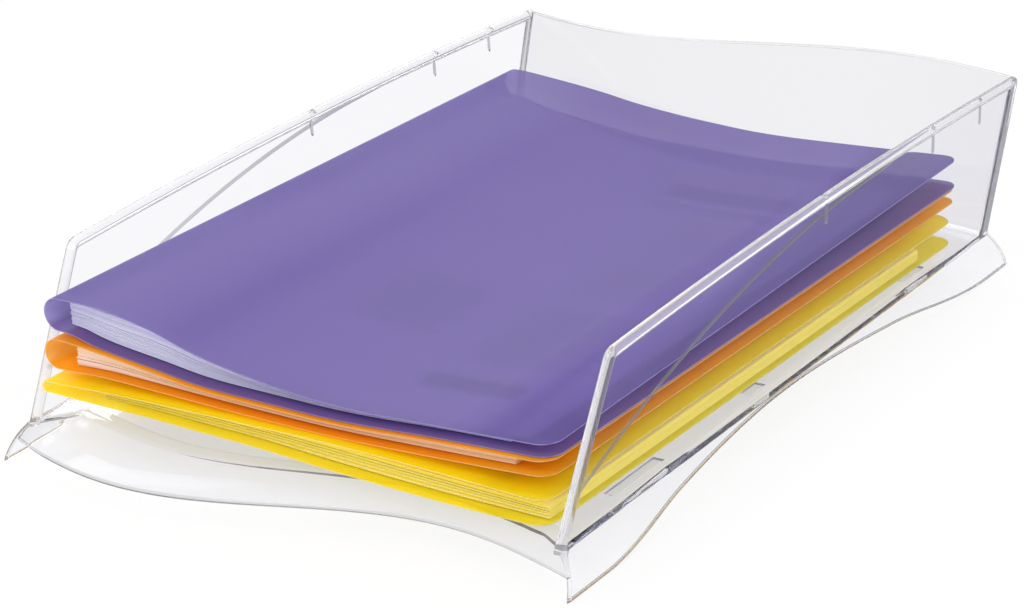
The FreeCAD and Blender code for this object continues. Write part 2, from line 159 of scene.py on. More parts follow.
def clear_polystyrene(name, painted_shade_tone, index, clear_share, haze_most):
    """The plastic with a grey tone that paints shade, an index of refraction and the share of light that
    isn't scattered.
    """
    material, add, link, shader, output = new_material(name)
    shader.inputs["Base Color"].default_value = (painted_shade_tone, painted_shade_tone, painted_shade_tone + lilac_tint, 1)
    shader.inputs["Transmission Weight"].default_value = clear_share
    shader.inputs["IOR"].default_value = index
    place = add.new("ShaderNodeTexCoord")
    flow = add.new("ShaderNodeTexNoise")
    flow.inputs["Scale"].default_value = 14.0
    flow.inputs["Detail"].default_value = 2.0
    bump = add.new("ShaderNodeBump")
    bump.inputs["Strength"].default_value = 0.04
    bump.inputs["Distance"].default_value = 0.002
    haze = add.new("ShaderNodeMapRange")
    haze.inputs["To Min"].default_value = least_haze_share * haze_most
    haze.inputs["To Max"].default_value = haze_most
    link.new(place.outputs["Object"], flow.inputs["Vector"])
    link.new(flow.outputs["Fac"], bump.inputs["Height"])
    link.new(flow.outputs["Fac"], haze.inputs["Value"])
    link.new(haze.outputs["Result"], shader.inputs["Roughness"])
    link.new(bump.outputs["Normal"], shader.inputs["Normal"])
    surface = pass_lamp_light(add, link, shader.outputs["BSDF"], lamp_pass)
    link.new(surface, output.inputs["Surface"])
    tint = add.new("ShaderNodeVolumeAbsorption")
    tint.inputs["Color"].default_value = (0.80, 0.80, 0.83, 1)
    tint.inputs["Density"].default_value = 12.0
    link.new(tint.outputs["Volume"], output.inputs["Volume"])
    return material


# The tones are painted shade, greyer on the bent sheet and the lip; the milky white share of lit_edge paints
# a glow, and that of soft_ridge paints a highlight.
plastics = [
    clear_polystyrene("clear_pane", 0.94, 1.08, 1.0, 0.0),
    clear_polystyrene("clear_sheet", 0.89, 1.48, 1.0, 0.01),
    clear_polystyrene("clear_lip", 0.86, 1.16, 0.92, 0.05),
    clear_polystyrene("lit_edge", 0.93, 1.45, 0.84, 0.04),
    clear_polystyrene("low_edge", 0.88, 1.50, 0.97, 0.02),
    clear_polystyrene("soft_ridge", 0.97, 1.10, 0.84, 0.1),
]
pane, bent_sheet, lip_face, lit_edge, low_edge, soft_ridge = range(len(plastics))
print("plastics", [plastic.name for plastic in plastics])

# %% [markdown]
# A moulding is easiest to control as a few closed skins, each a row of cross sections with the same
# number of points. One helper joins such loops with quads and covers the two ends. It also notes which
# of the plastics each row or column of faces shows, and the Boolean unions further on keep that.

# %% Helpers for closed skins
def add_object(name, mesh):
    """A new object at the origin, in the scene."""
    piece = bpy.data.objects.new(name, mesh)
    scene.collection.objects.link(piece)
    return piece


def closed_skin(name, loops, ends=lit_edge, rows=None, columns=None):
    """A closed mesh through loops of equally many points, with the plastic of its ends, rows and columns."""
    count = len(loops[0])
    faces = []
    kinds = []
    for i in range(len(loops) - 1):
        row = rows[i] if rows else None
        for j in range(count):
            k = (j + 1) % count
            faces.append((i * count + j, i * count + k, (i + 1) * count + k, (i + 1) * count + j))
            column = columns[j] if columns else ends
            kinds.append(column if row is None else row)
    last = (len(loops) - 1) * count
    faces.append(tuple(range(count)))
    faces.append(tuple(range(last, last + count)))
    mesh = bpy.data.meshes.new(name)
    mesh.from_pydata(to_frame(np.concatenate(loops)).tolist(), [], faces)
    for plastic in plastics:
        mesh.materials.append(plastic)
    mesh.polygons.foreach_set("material_index", kinds + [ends, ends])
    shell = bmesh.new()
    shell.from_mesh(mesh)
    bmesh.ops.recalc_face_normals(shell, faces=shell.faces)
    shell.to_mesh(mesh)
    shell.free()
    return add_object(name, mesh)


def other_side(loops):
    """The same loops on the left of the tray."""
    return [np.asarray(loop) * (-1, 1, 1) for loop in loops]


def keep_result(piece):
    """Makes what the modifiers of a piece show its plain mesh, and removes them."""
    evaluated = piece.evaluated_get(bpy.context.evaluated_depsgraph_get())
    mesh = bpy.data.meshes.new_from_object(evaluated)
    piece.modifiers.clear()
    piece.data = mesh


def combine(base, other, operation):
    """Joins a skin to another one, or cuts it away."""
    modifier = base.modifiers.new("combine", "BOOLEAN")
    modifier.operation = operation
    modifier.solver = "MANIFOLD"
    modifier.object = other
    keep_result(base)
    bpy.data.objects.remove(other)


def wave(x, middle, height, length):
    """A sine wave about a middle."""
    return middle + height * np.sin(2 * np.pi * x / length)


def arc_centre(a, b, c):
    """Centre of the circle through three points of a plane."""
    return np.linalg.solve(2 * np.array((b - a, c - a)), np.array((b @ b - a @ a, c @ c - a @ a)))


# %% [markdown]
# A side wall is a flat panel in a thick rounded border. Its outline is drawn from the side at growing
# distances from the rim's edge. Each of these rings has its own thickness, and together they give the
# round rim, the soft step inside it and the panel.

# %% Side walls
rim_round = 2.1
rear_radius = 2.5
least_radius = 0.3
step_width = 2.3
panel_margin = 3.0
round_steps = 5
corner_steps = 12
crown_steps = 44
corner_passes = 3
wall_sink = 1.1


def rounded_corner(before, corner, after, radius, steps):
    """Points on an arc that rounds a corner."""
    a = (before - corner) / np.linalg.norm(before - corner)
    b = (after - corner) / np.linalg.norm(after - corner)
    half = math.acos(np.clip(a @ b, -1, 1)) / 2
    reach = radius / math.tan(half)
    middle = corner + (a + b) / np.linalg.norm(a + b) * radius / math.sin(half)
    start = corner + a * reach - middle
    end = corner + b * reach - middle
    turn = math.pi - 2 * half
    points = []
    for t in np.linspace(0, 1, steps + 1):
        points.append(middle + (math.sin((1 - t) * turn) * start + math.sin(t * turn) * end) / math.sin(turn))
    return points


def rim_height(y):
    """Height of the crowned rim above the floor."""
    return wall_height + crown * (1 - (2 * y / rim_length - 1) ** 2)


def wall_ring(distance):
    """A side wall from the side, in Y and Z, at a distance in from its front, top and rear edges."""
    front_in = distance * math.hypot(1, rake_slope)
    rear_in = distance * math.hypot(1, rear_slope)

    def front_point(z):
        return np.array((rake_slope * (z - wall_height) + front_in, z))

    def rear_point(z):
        return np.array((rim_length + rear_slope * (z - wall_height) - rear_in, z))

    def rim_point(y):
        return np.array((y, rim_height(y) - distance))

    front_top = front_point(wall_height - distance)
    rear_top = rear_point(wall_height - distance)
    for _ in range(corner_passes):
        front_top = front_point(rim_height(front_top[0]) - distance)
        rear_top = rear_point(rim_height(rear_top[0]) - distance)
    front_foot = front_point(-wall_sink)
    rear_foot = rear_point(-wall_sink)
    near = rim_point(front_top[0] + 2 * corner_radius)
    far = rim_point(rear_top[0] - 2 * corner_radius)
    front_round = max(corner_radius - distance, least_radius)
    rear_round = max(rear_radius - distance, least_radius)
    front = rounded_corner(front_foot, front_top, near, front_round, corner_steps)
    rear = rounded_corner(far, rear_top, rear_foot, rear_round, round_steps)
    rim = [rim_point(y) for y in np.linspace(near[0], far[0], crown_steps)]
    return np.array([front_foot] + front + rim + rear + [rear_foot])


def wall_profile():
    """Distances from the rim's edge with half the thickness there, from the edge to the panel."""
    full = wall / 2 + border_proud
    profile = []
    for a in np.linspace(math.pi / 2, 0, round_steps + 1):
        profile.append((rim_round * (1 - math.sin(a)), full - rim_round * (1 - math.cos(a))))
    profile[0] = (0.0, full - rim_round)
    for t in np.linspace(0, 1, round_steps + 2):
        half = wall / 2 + border_proud * (1 + math.cos(math.pi * t)) / 2
        profile.append((border_depth + step_width * (t - 1), half))
    profile.append((border_depth + panel_margin, wall / 2))
    return profile


def on_wall(out, side_view):
    """Points at a distance out from the wall's outer face, leaning as the right wall does."""
    side_view = np.asarray(side_view, float)
    out = np.broadcast_to(out, len(side_view))
    y, z = side_view[:, 0], side_view[:, 1]
    x = out * math.cos(lean_angle) + z * math.sin(lean_angle)
    return np.stack((x + wall_out, y, z * math.cos(lean_angle) - out * math.sin(lean_angle)), axis=1)


profile = wall_profile()
wall_loops = [on_wall(half - wall / 2, wall_ring(distance)) for distance, half in reversed(profile)]
wall_loops += [on_wall(-half - wall / 2, wall_ring(distance)) for distance, half in profile]
wall_rows = [pane] + [lit_edge] * (len(wall_loops) - 3) + [pane]
tray = closed_skin("clear_tray", wall_loops, pane, wall_rows)
left_wall = closed_skin("left_wall", other_side(wall_loops), pane, wall_rows)
print("side wall", len(tray.data.polygons), "faces")

# %% [markdown]
# Lip, floor and rear wall are one bent sheet. Its cross section runs from the lip's lower edge up over
# the floor's front edge, back along the floor, round a soft corner and up the leaning rear wall. The
# waves in plan shift the section along the tray, so each column across it has its own section.

# %% Lip, floor and rear wall
lip_steps = 14
floor_steps = 10
bend_steps = 6
rear_steps = 10
edge_steps = 6
rear_bend = 4.0
edge_bead = 0.6
edge_bead_width = 1.8
bead_columns = 4
bead_tail = (1.3, 2.6, 4.2)     # places behind the floor's edge, in widths of the bead
flat_from = 12                  # where the flat floor starts, in the same widths
bend_room = 2.5                 # in front of the rear wall, in radii of the bend
across_steps = 97
cheek_steps = 9
in_wall_steps = 3
skirt_mid_shares = (0.68, 0.42)


def skirt_face(z, inwards):
    """How far out the skirt's face lies at a height over the floor, on the arc of its flare."""
    mid_out, mid_down = skirt_mid_shares
    top = np.array((skirt_ledge - inwards, 0.0))
    middle = np.array((mid_out * (skirt_out - inwards), -mid_down * (foot_height + inwards)))
    low = np.array((skirt_out - inwards, -foot_height - crown))
    centre = arc_centre(top, middle, low)
    radius = np.linalg.norm(top - centre)
    x = centre[0] + np.sqrt(np.maximum(radius ** 2 - (np.minimum(z, 0) - centre[1]) ** 2, 0))
    return np.where(z > 0, skirt_ledge - inwards, x)


def side_limit(z):
    """How far out the sheet runs at a height: to the middle of the wall, or of the skirt below the belt."""
    on_panel = wall_out - wall / 2 + np.maximum(z, 0) * wall_lean / wall_height
    in_skirt = wall_out + skirt_face(z, skirt_wall / 2)
    return np.where(z < 0, np.maximum(in_skirt, wall_out - wall / 2), on_panel)


def floor_edge(x):
    """The floor's front edge: a wave that turns forward to the walls' feet in the two cheeks."""
    start = wall_in - cheek_width
    near = np.clip(x, -start, start)
    y = wave(near, -floor_reach, floor_wave, floor_wave_length)
    turn = np.clip(np.abs(x - near) / cheek_width, 0, 1)
    return y + turn * (wall - front_rake - y)


def sheet_line(place):
    """The sheet's upper face along the tray at a place across it, from -1 on the left to 1 on the right."""
    def bead(away):
        return edge_bead * math.exp(-(away / edge_bead_width) ** 2)

    points = []
    for t in np.linspace(1, 0, lip_steps):
        z = -lip_drop * t + 4 * lip_bulge * t * (1 - t)
        x = place * side_limit(z)
        back = floor_edge(x) + wall
        y = back + t * (wave(x, -lip_reach, lip_wave, rim_width) - back)
        points.append((x, y, z + bead(y - back)))
    x = place * side_limit(0.0)
    front = floor_edge(x) + wall
    rear = wave(x, rear_base - rear_inset - wall, rear_wave_base, rim_width)
    for away in np.array(bead_tail) * edge_bead_width:
        points.append((x, front + away, bead(away)))
    for y in np.linspace(front + flat_from * edge_bead_width, rear - bend_room * rear_bend, floor_steps):
        points.append((x, y, 0.0))
    turn = math.pi / 2 - math.atan(rear_slope)
    reach = rear_bend * math.tan(turn / 2)
    for a in np.linspace(0, turn, bend_steps + 1):
        points.append((x, rear - reach + rear_bend * math.sin(a), rear_bend * (1 - math.cos(a))))
    lowest = points[-1][2]
    for z in np.linspace(lowest, wall_height - wall / 2, rear_steps)[1:]:
        x = place * side_limit(z)
        height = rear_wave_base + (rear_wave_top - rear_wave_base) * z / wall_height
        base = rim_length - rear_inset - wall + rear_slope * (z - wall_height)
        points.append((x, wave(x, base, height, rim_width), z))
    return np.array(points)


def round_end(upper, lower, steps):
    """Points from the upper face's last point round to the lower face's."""
    middle = (upper + lower) / 2
    arm = upper - middle
    ahead = np.array((0.0, arm[2], -arm[1]))
    angles = np.linspace(0, np.pi, steps + 2)[1:-1]
    return middle + np.cos(angles)[:, None] * arm + np.sin(angles)[:, None] * ahead


def sheet_loop(place):
    """A closed section of the sheet: its upper face, its lower face and round ends."""
    upper = sheet_line(place)
    along = np.gradient(upper[:, 1:], axis=0)
    along /= np.linalg.norm(along, axis=1)[:, None]
    normal = np.stack((np.zeros(len(upper)), -along[:, 1], along[:, 0]), axis=1)
    lower = upper - wall * normal
    rear = round_end(upper[-1], lower[-1], edge_steps)
    front = round_end(lower[0], upper[0], edge_steps)
    return np.concatenate((upper, rear, lower[::-1], front))


cheek_place = (wall_in - cheek_width) / (wall_out - wall / 2)
wall_place = wall_in / (wall_out - wall / 2)
middle_places = np.linspace(-cheek_place, cheek_place, across_steps)
cheek_places = np.linspace(cheek_place, wall_place, cheek_steps)[1:]
side_places = np.append(cheek_places, np.linspace(wall_place, 1, in_wall_steps)[1:])
places = np.concatenate((-side_places[::-1], middle_places, side_places))
lip_columns = [lip_face] * (lip_steps - bead_columns // 2)
floor_columns = [bent_sheet] * (len(sheet_line(0.0)) - 1 - len(lip_columns) - bead_columns)
upper_columns = lip_columns + [lit_edge] * bead_columns + floor_columns
lower_columns = floor_columns[::-1] + [lip_face] * (bead_columns + len(lip_columns))
end_columns = [low_edge] * (edge_steps + 1)
sheet_columns = upper_columns + end_columns + lower_columns + end_columns
sheet = closed_skin("floor_sheet", [sheet_loop(place) for place in places], pane, None, sheet_columns)
print("floor sheet", len(sheet.data.polygons), "faces")

# %% [markdown]
# A skirt flares out below the belt line. Its section is cut off at the feet and at the arch between
# them, so every column along the tray has its own lower end. All its edges are rounded: the section has
# round ends, and the first and last columns thin out towards the middle of the skirt.

# %% Skirts
skirt_columns = 121
skirt_rows = 12
skirt_round = 0.7
thinnest_share = 0.15
arch_places = (-0.03, 0.12, 0.32, 0.63, 0.87)
arch_heights = (0.0, 0.55, 0.87, 0.62, 0.0)


def cubic(t, start, end, start_slope, end_slope):
    """A smooth step from start to end as t goes from 0 to 1, with a slope at each end."""
    value = (2 * t ** 3 - 3 * t ** 2 + 1) * start + (t ** 3 - 2 * t ** 2 + t) * start_slope
    return value + (3 * t ** 2 - 2 * t ** 3) * end + (t ** 3 - t ** 2) * end_slope


def arch_height(y):
    """Height of the skirt's lower edge over the ground: flat feet and one smooth arch."""
    share = y / rim_length
    slopes = np.gradient(arch_heights, arch_places)
    slopes[0] = slopes[-1] = 0.0
    for i in range(len(arch_places) - 1):
        low, high = arch_places[i], arch_places[i + 1]
        if low <= share <= high:
            step = high - low
            heights = arch_heights[i:i + 2]
            return foot_height * cubic((share - low) / step, *heights, *(step * slopes[i:i + 2]))
    return 0.0


def skirt_loop(share, thin, ahead):
    """A closed section of the right skirt at a share of its length, thinned and moved on along the tray."""
    y_belt = -front_rake + share * (rear_base + front_rake)
    top = crown * (1 - (2 * share - 1) ** 2)
    low = arch_height(y_belt) - foot_height
    z = np.linspace(top - skirt_round, low + skirt_round, skirt_rows)
    outer, inner = (
        np.stack((wall_out + skirt_face(z, inwards), z), axis=1)
        for inwards in (skirt_wall * (1 - thin) / 2, skirt_wall * (1 + thin) / 2)
    )
    turn = np.linspace(0, np.pi, edge_steps + 2)[1:-1]
    foot = np.stack((
        (outer[-1, 0] + inner[-1, 0]) / 2 + np.cos(turn) * (outer[-1, 0] - inner[-1, 0]) / 2,
        low + skirt_round - np.sin(turn) * skirt_round,
    ), axis=1)
    belt = np.stack((
        (outer[0, 0] + inner[0, 0]) / 2 - np.cos(turn) * (outer[0, 0] - inner[0, 0]) / 2,
        top - skirt_round + np.sin(turn) * skirt_round,
    ), axis=1)
    section = np.concatenate((outer, foot, inner[::-1], belt))
    front = -front_rake + rake_slope * np.minimum(section[:, 1], 0)
    rear = rear_base - foot_tail * np.minimum(section[:, 1], 0) / foot_height
    y = front + share * (rear - front) + ahead
    return np.stack((section[:, 0], y, section[:, 1]), axis=1)


end_turns = np.linspace(0, math.pi / 2, round_steps)[:-1]
end_rounds = [(max(math.sin(a), thinnest_share), skirt_wall / 2 * (1 - math.cos(a))) for a in end_turns]
end_share = skirt_wall / 2 / (rear_base + front_rake)
skirt_loops = [skirt_loop(0, thin, ahead) for thin, ahead in end_rounds]
full_columns = np.linspace(end_share, 1 - end_share, skirt_columns)
skirt_loops += [skirt_loop(share, 1.0, 0.0) for share in full_columns]
skirt_loops += [skirt_loop(1, thin, -ahead) for thin, ahead in reversed(end_rounds)]
skirt_side = [pane] * (skirt_rows - 1)
foot_edge = [low_edge] * (edge_steps + 1)
belt_edge = [pane] * (edge_steps + 1)
skirt_kinds = skirt_side + foot_edge + skirt_side + belt_edge
end_kinds = [lit_edge] * len(end_rounds)
along_kinds = end_kinds + [None] * (skirt_columns - 1) + end_kinds
right_skirt = closed_skin("right_skirt", skirt_loops, lit_edge, along_kinds, skirt_kinds)
left_skirt = closed_skin("left_skirt", other_side(skirt_loops), lit_edge, along_kinds, skirt_kinds)
print("skirt", len(right_skirt.data.polygons), "faces")

# %% [markdown]
# Three small ribs hang under the notches of each rim, and a curved ridge sweeps up the outside of the
# wall. Both are slim bars, half sunk in the wall: the ribs are oval, the ridge is a soft low swelling.

# %% Ribs, ridges, notches and floor pockets
notch_shares = (0.476, 0.754, 0.886)
notch_width = 2.0
notch_depth = 1.6
rib_width = 1.8
rib_length = 8.0
rib_proud = 0.8
rib_steps = 12
rib_round_share = 0.14
ridge_width = 2.4
ridge_proud = 0.3
ridge_sink = 0.6
ridge_settle = 0.06
ridge_steps = 60
ridge_fade_share = 0.1
ridge_shares = ((-0.075, 0.26), (0.180, 0.70), (0.650, 0.985))
pocket_width = 5.0
pocket_depth = 1.0
pocket_margin = 5.0
pocket_shares = ((0.035, 0.140), (0.335, 0.370), (0.725, 0.780))
bar_sides = 16
end_size = 0.08
cutter_reach = 6.0


def bar_loops(line, section, ends):
    """A section carried along a line on the wall's outer face, drawn in at the two ends."""
    line = np.asarray(line, float)
    along = np.gradient(line, axis=0)
    along /= np.linalg.norm(along, axis=1)[:, None]
    across = np.stack((-along[:, 1], along[:, 0]), axis=1)
    loops = []
    for i, point in enumerate(line):
        size = max(end_size, math.sqrt(max(0.0, 1 - ends[i] ** 2)))
        side = point + np.outer(section[:, 0], across[i]) * size
        loops.append(on_wall(section[:, 1] * size, side))
    return loops


def end_fade(steps, share):
    """How far each step of a bar is into the last share of it, where it thins out."""
    return np.clip((np.linspace(0, 1, steps) - (1 - share)) / share, 0, 1)


def oval(width, proud):
    """An oval section, half of which stands out of the wall."""
    angles = np.linspace(0, 2 * np.pi, bar_sides, endpoint=False)
    return np.stack((np.cos(angles) * width / 2, np.sin(angles) * proud), axis=1)


def swelling(width, proud, sink):
    """A low bump that runs out softly on both sides, with a flat sunk base."""
    across = np.linspace(1, -1, bar_sides)
    bump = proud * ((1 + np.cos(np.pi * across)) / 2 - ridge_settle)
    base = [(-width / 2, -sink), (width / 2, -sink)]
    return np.concatenate((np.stack((across * width / 2, bump), axis=1), base))


def arc_points(a, b, c, steps):
    """Points on the arc through three points."""
    a, b, c = (np.array(p, float) for p in (a, b, c))
    centre = arc_centre(a, b, c)
    first, last = (math.atan2(*(p - centre)[::-1]) for p in (a, c))
    if last > first:
        last -= 2 * math.pi
    angles = np.linspace(first, last, steps)
    return centre + np.linalg.norm(a - centre) * np.stack((np.cos(angles), np.sin(angles)), axis=1)


def box_loops(low, high):
    """Two loops for the ends of a plain block, which only cuts."""
    corners = ((low[0], low[2]), (high[0], low[2]), (high[0], high[2]), (low[0], high[2]))
    return [np.array([(x, y, z) for x, z in corners]) for y in (low[1], high[1])]


bars = []
cutters = []
rim_x = wall_out + wall_lean
for share in notch_shares:
    y = share * rim_length
    top = rim_height(y)
    middle = top - border_depth / 2
    line = [(y, z) for z in np.linspace(middle, top - border_depth - rib_length, rib_steps)]
    rib_section = oval(rib_width, rib_proud)
    bars.append((bar_loops(line, rib_section, end_fade(rib_steps, rib_round_share)), lit_edge))
    low = (rim_x - cutter_reach, y - notch_width / 2, top - notch_depth)
    cutters.append(box_loops(low, (rim_x + cutter_reach, y + notch_width / 2, top + cutter_reach)))
ridge = [(y * rim_length, z * wall_height) for y, z in ridge_shares]
ridge_section = swelling(ridge_width, ridge_proud, ridge_sink)
ridge_fade = end_fade(ridge_steps, ridge_fade_share)
bars.append((bar_loops(arc_points(*ridge, ridge_steps), ridge_section, ridge_fade), soft_ridge))
for start, end in pocket_shares:
    x = wall_in - pocket_margin
    low = (x - pocket_width, start * rim_length, -pocket_depth)
    cutters.append(box_loops(low, (x, end * rim_length, cutter_reach)))
print("bars", len(bars), "cutters", len(cutters))

# %% [markdown]
# The skins become one closed moulding by Boolean unions. Cutting leaves long thin faces beside large
# flat ones, so the shading follows the larger faces: a Weighted Normal modifier does that, and edges
# that turn sharply stay sharp.

# %% One moulding
sharp_angle = math.radians(32)
for skin in (left_wall, sheet, right_skirt, left_skirt):
    combine(tray, skin, "UNION")
for loops, kind in bars:
    combine(tray, closed_skin("bar", loops, kind), "UNION")
    combine(tray, closed_skin("bar", other_side(loops), kind), "UNION")
for loops in cutters:
    combine(tray, closed_skin("cutter", loops), "DIFFERENCE")
    combine(tray, closed_skin("cutter", other_side(loops)), "DIFFERENCE")
tray.data.shade_smooth()
tray.data.set_sharp_from_angle(angle=sharp_angle)
even_shading = tray.modifiers.new("even_shading", "WEIGHTED_NORMAL")
even_shading.keep_sharp = True
keep_result(tray)
print("tray", len(tray.data.polygons), "faces")

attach(tray, "tray")
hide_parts("tray_moulding")

# %% [markdown]
# The folders are thin polypropylene films. Light partly scatters in the dyed film and partly passes
# through its two faces, so the paper below shows through. The three colours share one effect: a fine
# matte grain, a slow unevenness of the dye, gentle waves in the film and cut ends painted lighter, as a
# painted highlight of the light they gather.

# %% Grain and painted edge highlight of the films
grain_roughness = 0.12
film_wave = 12.0


def new_group(name, inputs, outputs):
    """A shader node group with named sockets, and its nodes for what is given and what results."""
    group = bpy.data.node_groups.new(name, "ShaderNodeTree")
    for socket, kind in inputs.items():
        group.interface.new_socket(socket, in_out="INPUT", socket_type="NodeSocket" + kind)
    for socket, kind in outputs.items():
        group.interface.new_socket(socket, in_out="OUTPUT", socket_type="NodeSocket" + kind)
    given = group.nodes.new("NodeGroupInput")
    result = group.nodes.new("NodeGroupOutput")
    return group, group.nodes, group.links, given, result


def maths(add, link, operation, *values, kind="ShaderNodeMath"):
    """What a math node makes of its inputs, which are linked or set in their order."""
    node = add.new(kind)
    node.operation = operation
    for socket, value in zip(node.inputs, values):
        put(link, socket, value)
    return node.outputs[0]


def colour_mix(add):
    """A colour mix with its factor, its two colours and its result."""
    mix = add.new("ShaderNodeMix")
    mix.data_type = "RGBA"
    return mix.inputs["Factor"], mix.inputs[6], mix.inputs[7], mix.outputs[2]


def film_grain_and_highlight_group():
    """Colour, roughness and height of a film, with a painted highlight on its cut ends."""
    group, add, link, given, result = new_group(
        "film_grain_and_highlight",
        {"Dye": "Color", "Deep Dye": "Color", "Edge Highlight": "Color", "Gloss": "Float"},
        {"Color": "Color", "Roughness": "Float", "Height": "Float"},
    )
    place = add.new("ShaderNodeTexCoord")
    slow = add.new("ShaderNodeTexNoise")
    slow.inputs["Scale"].default_value = 9.0
    slow.inputs["Detail"].default_value = 3.0
    fine = add.new("ShaderNodeTexNoise")
    fine.inputs["Scale"].default_value = 2600.0
    fine.inputs["Detail"].default_value = 1.0
    for noise in (slow, fine):
        link.new(place.outputs["Object"], noise.inputs["Vector"])
    uneven, dye, deep_dye, body = colour_mix(add)
    link.new(slow.outputs["Fac"], uneven)
    link.new(given.outputs["Dye"], dye)
    link.new(given.outputs["Deep Dye"], deep_dye)
    # Cut ends, found by which way their faces point, get the lighter edge colour: a painted highlight.
    face = add.new("ShaderNodeNewGeometry")
    parts = add.new("ShaderNodeSeparateXYZ")
    link.new(face.outputs["True Normal"], parts.inputs["Vector"])
    front_or_rear = maths(add, link, "ABSOLUTE", parts.outputs["Y"])
    any_end = maths(add, link, "MAXIMUM", front_or_rear, parts.outputs["X"])
    cut_end = add.new("ShaderNodeMapRange")
    cut_end.inputs["From Min"].default_value = 0.6
    cut_end.inputs["From Max"].default_value = 0.9
    link.new(any_end, cut_end.inputs["Value"])
    at_end, plain, edge_highlight, colour = colour_mix(add)
    link.new(cut_end.outputs["Result"], at_end)
    link.new(body, plain)
    link.new(given.outputs["Edge Highlight"], edge_highlight)
    link.new(colour, result.inputs["Color"])
    rough = maths(add, link, "MULTIPLY_ADD", fine.outputs["Fac"], grain_roughness, given.outputs["Gloss"])
    link.new(rough, result.inputs["Roughness"])
    height = maths(add, link, "MULTIPLY_ADD", slow.outputs["Fac"], film_wave, fine.outputs["Fac"])
    link.new(height, result.inputs["Height"])
    return group


film_grain_and_highlight = film_grain_and_highlight_group()
print("film grain", len(film_grain_and_highlight.nodes), "nodes")

# %% [markdown]
# Each film takes its shape from its folder's solid. That mesh is loose triangles, so a copy is merged
# and shaded smoothly, and it stands for the solid from then on.

# %% Folder films
film_sharp_angle = math.radians(40)
scatter_share = 0.3
straight_share = 0.36
lamp_share = 0.84
merge_distance = 0.001 * mm


def folder_film(name, dye, deep_dye, edge_highlight, glow):
    """A dyed film: a satin surface, scattered light, a share that passes straight, and lamp light."""
    material, add, link, shader, output = new_material(name)
    grain = add.new("ShaderNodeGroup")
    grain.node_tree = film_grain_and_highlight
    grain.inputs["Dye"].default_value = (*dye, 1)
    grain.inputs["Deep Dye"].default_value = (*deep_dye, 1)
    grain.inputs["Edge Highlight"].default_value = (*edge_highlight, 1)
    grain.inputs["Gloss"].default_value = 0.38
    bump = add.new("ShaderNodeBump")
    bump.inputs["Strength"].default_value = 0.06
    bump.inputs["Distance"].default_value = 0.0002
    shader.inputs["IOR"].default_value = 1.42
    link.new(grain.outputs["Color"], shader.inputs["Base Color"])
    link.new(grain.outputs["Roughness"], shader.inputs["Roughness"])
    link.new(grain.outputs["Height"], bump.inputs["Height"])
    link.new(bump.outputs["Normal"], shader.inputs["Normal"])
    through = add.new("ShaderNodeBsdfTranslucent")
    link.new(grain.outputs["Color"], through.inputs["Color"])
    surface = mixed(add, link, scatter_share, shader.outputs["BSDF"], through.outputs["BSDF"])
    surface = mixed(add, link, straight_share, surface, clear_face(add, glow))
    surface = pass_lamp_light(add, link, surface, [lamp_share * value for value in glow])
    link.new(surface, output.inputs["Surface"])
    return material


def merged_copy(name, node):
    """A copy of a solid's mesh with its triangles joined, shaded smoothly between sharp edges."""
    mesh = node.data.copy()
    shell = bmesh.new()
    shell.from_mesh(mesh)
    bmesh.ops.remove_doubles(shell, verts=shell.verts, dist=merge_distance)
    shell.to_mesh(mesh)
    shell.free()
    mesh.shade_smooth()
    mesh.set_sharp_from_angle(angle=film_sharp_angle)
    return add_object(name, mesh)


# Each film: its dye, a deeper dye for its unevenness, a lighter colour painted on the cut ends as a
# highlight, and the tint of light that passes straight.
films = {
    "violet": ((0.222, 0.168, 0.455), (0.195, 0.143, 0.425), (0.45, 0.40, 0.75), (0.78, 0.74, 0.88)),
    "orange": ((0.95, 0.46, 0.01), (0.90, 0.41, 0.01), (1.00, 0.66, 0.25), (1.00, 0.80, 0.30)),
    "yellow": ((0.97, 0.83, 0.01), (0.94, 0.78, 0.01), (1.00, 0.93, 0.40), (1.00, 0.96, 0.45)),
}
for colour, dyes in films.items():
    node = colour + "_folder"
    film = merged_copy(colour + "_film", nodes[node])
    film.data.materials.clear()
    film.data.materials.append(folder_film(colour + "_film", *dyes))
    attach(film, node)
    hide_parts(node)
    print(film.name, len(film.data.polygons), "faces")

# %% [markdown]
# Office paper is a soft white with faint fibres, which all papers here share. The light that reaches the
# papers in a folder has passed through its film, and that coloured light is painted on: the cut edges
# take the film's colour, and the flat faces of the sheaves take a milder tint of it. The cover sheet also
# carries plain grey bars where print would be: a heading, paragraphs and two blocks. A second small group
# draws one block of lines, and the sheet mixes several of them.

# %% Papers
shade_share = 0.93
ragged_share = 0.4
ink_grey = (0.08, 0.08, 0.10)


